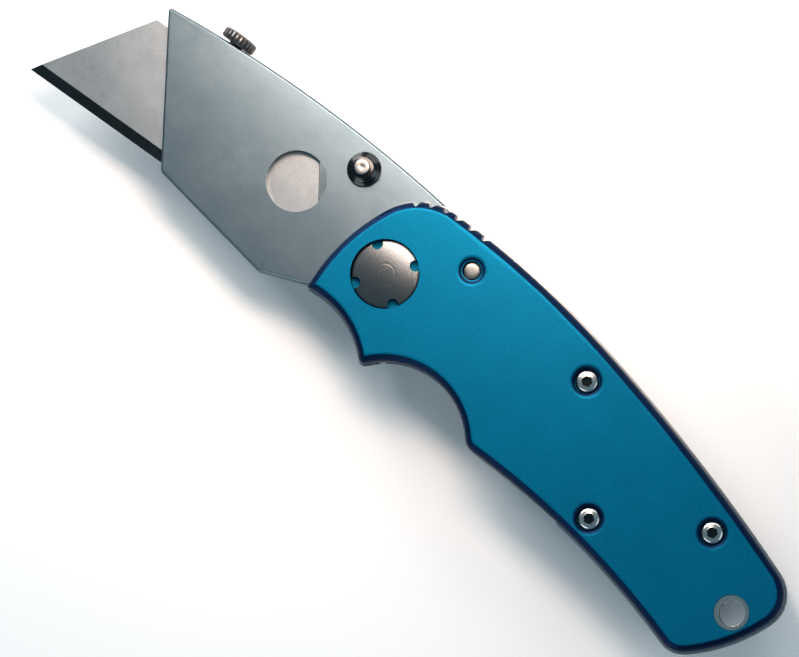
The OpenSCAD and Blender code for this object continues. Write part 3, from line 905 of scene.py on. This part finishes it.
def button_screw(radius, height):
    """Button head screw with a hexagon socket, its foot at z = 0."""
    crown = 0.95 * MM
    profile = [(0, 0), (radius - 0.05 * MM, 0), (radius, 0.06 * MM), (radius, height * 0.55)]
    for k in range(1, 7):
        a = math.radians(15 * k)
        profile.append((crown + (radius - crown) * math.cos(a), height * (0.55 + 0.43 * math.sin(a))))
    profile += [(0.9 * MM, height), (0, height)]
    socket = bar(SOCKET_RADIUS, height - 0.9 * MM, height + 1.1 * MM, sides=6, turn=0.3)
    return carved(spun(profile, 64), [socket])


class OBJECT_OT_knife_screws(KnifeOperator):
    """Make every button head screw with its hexagon socket, painted dark inside as shade"""
    bl_idname = "object.knife_screws"
    bl_label = "Screws"

    def execute(self, context):
        for node, side, tall in (("front_cover_screws", 1, COVER_SCREW_HEAD),
                                 ("rear_cover_screws", -1, COVER_SCREW_HEAD),
                                 ("clip_screws", -1, CLIP_SCREW_HEAD)):
            heads, axes = [], []
            for centre, radius, (low, high) in islands(node):
                top = high if side > 0 else -low
                axes.append(centre.xy)
                heads.append(on_side(button_screw(radius, tall), centre, side, top - tall))
            bm = joined(heads)
            bmesh.ops.recalc_face_normals(bm, faces=bm.faces)
            piece = place_piece(bm, node + "_turned", bright_finish(), "handle",
                                [node], smooth=30, weighted=False)
            # Painted shade: the socket's faces take the dark nickel for the shadow inside the socket.
            piece.data.materials.append(nickel_finish())
            for face in piece.data.polygons:
                if min((face.center.xy - axis).length for axis in axes) < SOCKET_RADIUS + 0.03 * MM:
                    face.material_index = 1
        return {"FINISHED"}


class OBJECT_OT_knife_clip(KnifeOperator):
    """Make the belt clip from bent spring steel"""
    bl_idname = "object.knife_clip"
    bl_label = "Belt clip"

    def execute(self, context):
        bm = cad_mesh("belt_clip")
        bevel_sharp(bm, CLIP_EDGE, segments=3, above=45)
        material = steel_material("clip_steel", tuple(colours().liner), roughness=0.3, scratches=0.35,
                                  angle=0.2)
        place_piece(bm, "belt_clip_bent", material, "handle", ["belt_clip"], smooth=25)
        return {"FINISHED"}


# ---------- stage ----------

def area_light(name, location, target, size, power, tint):
    data = bpy.data.lights.new(name, "AREA")
    data.shape = "RECTANGLE"
    data.size, data.size_y = size
    data.energy, data.color = power, tint
    light = bpy.data.objects.new(name, data)
    light.location = location
    light.rotation_euler = (target - location).to_track_quat("-Z", "Y").to_euler()
    bpy.context.scene.collection.objects.link(light)
    return light


def about(x, y, z):
    """A place in millimetres from the pivot."""
    return pivot() + Vector((x, y, z)) * MM


def pale_floor():
    bm = bmesh.new()
    bmesh.ops.create_grid(bm, x_segments=1, y_segments=1, size=2.0)
    floor = linked(bm, "floor")
    material, _, shader = new_material("pale_floor", 0.0, 0.9)
    shader.inputs["Base Color"].default_value = (*colours().floor, 1)
    floor.data.materials.append(material)


def studio_light():
    """A dim blue room, four soft lights round the knife and a small warm one over its spine."""
    world = bpy.data.worlds.new("studio")
    world.use_nodes = True
    room = world.node_tree.nodes["Background"]
    room.inputs["Color"].default_value = (0.42, 0.80, 1.0, 1)
    room.inputs["Strength"].default_value = 0.22
    bpy.context.scene.world = world
    bpy.context.scene.view_settings.view_transform = "Standard"

    strip = area_light("spine_strip", about(-28, 46, 105), about(-28, 10, 0), (0.10, 0.03), 0.15,
                       (1.0, 0.77, 0.64))
    strip.visible_camera = False
    for name, place, size, power, tint in (
            ("key", (-420, 170, 260), (0.30, 0.30), 2.3, (1.0, 0.98, 0.96)),
            ("back", (-60, 430, 250), (0.40, 0.25), 0.8, (1.0, 0.97, 0.94)),
            ("fill_right", (430, 100, 230), (0.30, 0.30), 0.4, (0.95, 0.98, 1.0)),
            ("fill_low", (40, -430, 230), (0.30, 0.30), 0.6, (0.92, 0.97, 1.0))):
        area_light(name, about(*place), pivot(), size, power, tint)


def camera_above():
    """A camera that looks down on the knife, leans towards the butt and is rolled about its view."""
    roll, tilt = math.radians(35.88), math.radians(9)
    aim = about(6.55, -5.84, 0)
    toward = Vector((math.sin(tilt), 0, math.cos(tilt)))
    right = Vector((math.cos(roll), math.sin(roll), 0))
    right = (right - toward * right.dot(toward)).normalized()
    turn = Matrix((right, toward.cross(right), toward)).transposed()
    camera = bpy.data.objects.new("camera", bpy.data.cameras.new("camera"))
    camera.data.sensor_width = 36.0
    camera.data.lens = 162.86
    camera.data.clip_start = 0.01
    camera.matrix_world = Matrix.Translation(aim + toward * sizes().camera_distance) @ turn.to_4x4()
    bpy.context.scene.collection.objects.link(camera)
    bpy.context.scene.camera = camera


class SCENE_OT_knife_stage(KnifeOperator):
    """Make the pale floor, the soft lights and the camera above the knife"""
    bl_idname = "scene.knife_stage"
    bl_label = "Stage"

    def execute(self, context):
        pale_floor()
        studio_light()
        camera_above()
        return {"FINISHED"}


# ---------- panel ----------

PIECE_OPERATORS = (
    OBJECT_OT_knife_covers, OBJECT_OT_knife_sheet_parts, OBJECT_OT_knife_stop_pin,
    OBJECT_OT_knife_pivot, OBJECT_OT_knife_screws, OBJECT_OT_knife_clip, OBJECT_OT_knife_carrier,
    OBJECT_OT_knife_studs, OBJECT_OT_knife_blade, OBJECT_OT_knife_clamp)


class VIEW3D_PT_utility_knife(bpy.types.Panel):
    """Sizes, colours and pieces of the knife"""
    bl_label = "Utility Knife"
    bl_space_type = "VIEW_3D"
    bl_region_type = "UI"
    bl_category = "Utility Knife"

    def draw(self, context):
        layout = self.layout
        for group in (context.scene.knife_sizes, context.scene.knife_colours):
            column = layout.column(align=True)
            for name in group.__annotations__:
                column.prop(group, name)
        column = layout.column(align=True)
        for operator in (*PIECE_OPERATORS, SCENE_OT_knife_stage):
            column.operator(operator.bl_idname)


CLASSES = (KnifeSizes, KnifeColours, *PIECE_OPERATORS, SCENE_OT_knife_stage, VIEW3D_PT_utility_knife)


def register():
    for cls in CLASSES:
        bpy.utils.register_class(cls)
    bpy.types.Scene.knife_sizes = PointerProperty(type=KnifeSizes)
    bpy.types.Scene.knife_colours = PointerProperty(type=KnifeColours)


def unregister():
    del bpy.types.Scene.knife_colours
    del bpy.types.Scene.knife_sizes
    for cls in reversed(CLASSES):
        bpy.utils.unregister_class(cls)


def main():
    register()
    bpy.ops.scene.knife_stage()
    bpy.ops.object.knife_covers()
    bpy.ops.object.knife_sheet_parts()
    bpy.ops.object.knife_stop_pin()
    bpy.ops.object.knife_pivot()
    bpy.ops.object.knife_screws()
    bpy.ops.object.knife_clip()
    bpy.ops.object.knife_carrier()
    bpy.ops.object.knife_studs()
    bpy.ops.object.knife_blade()
    bpy.ops.object.knife_clamp()


if __name__ == "__main__":
    main()
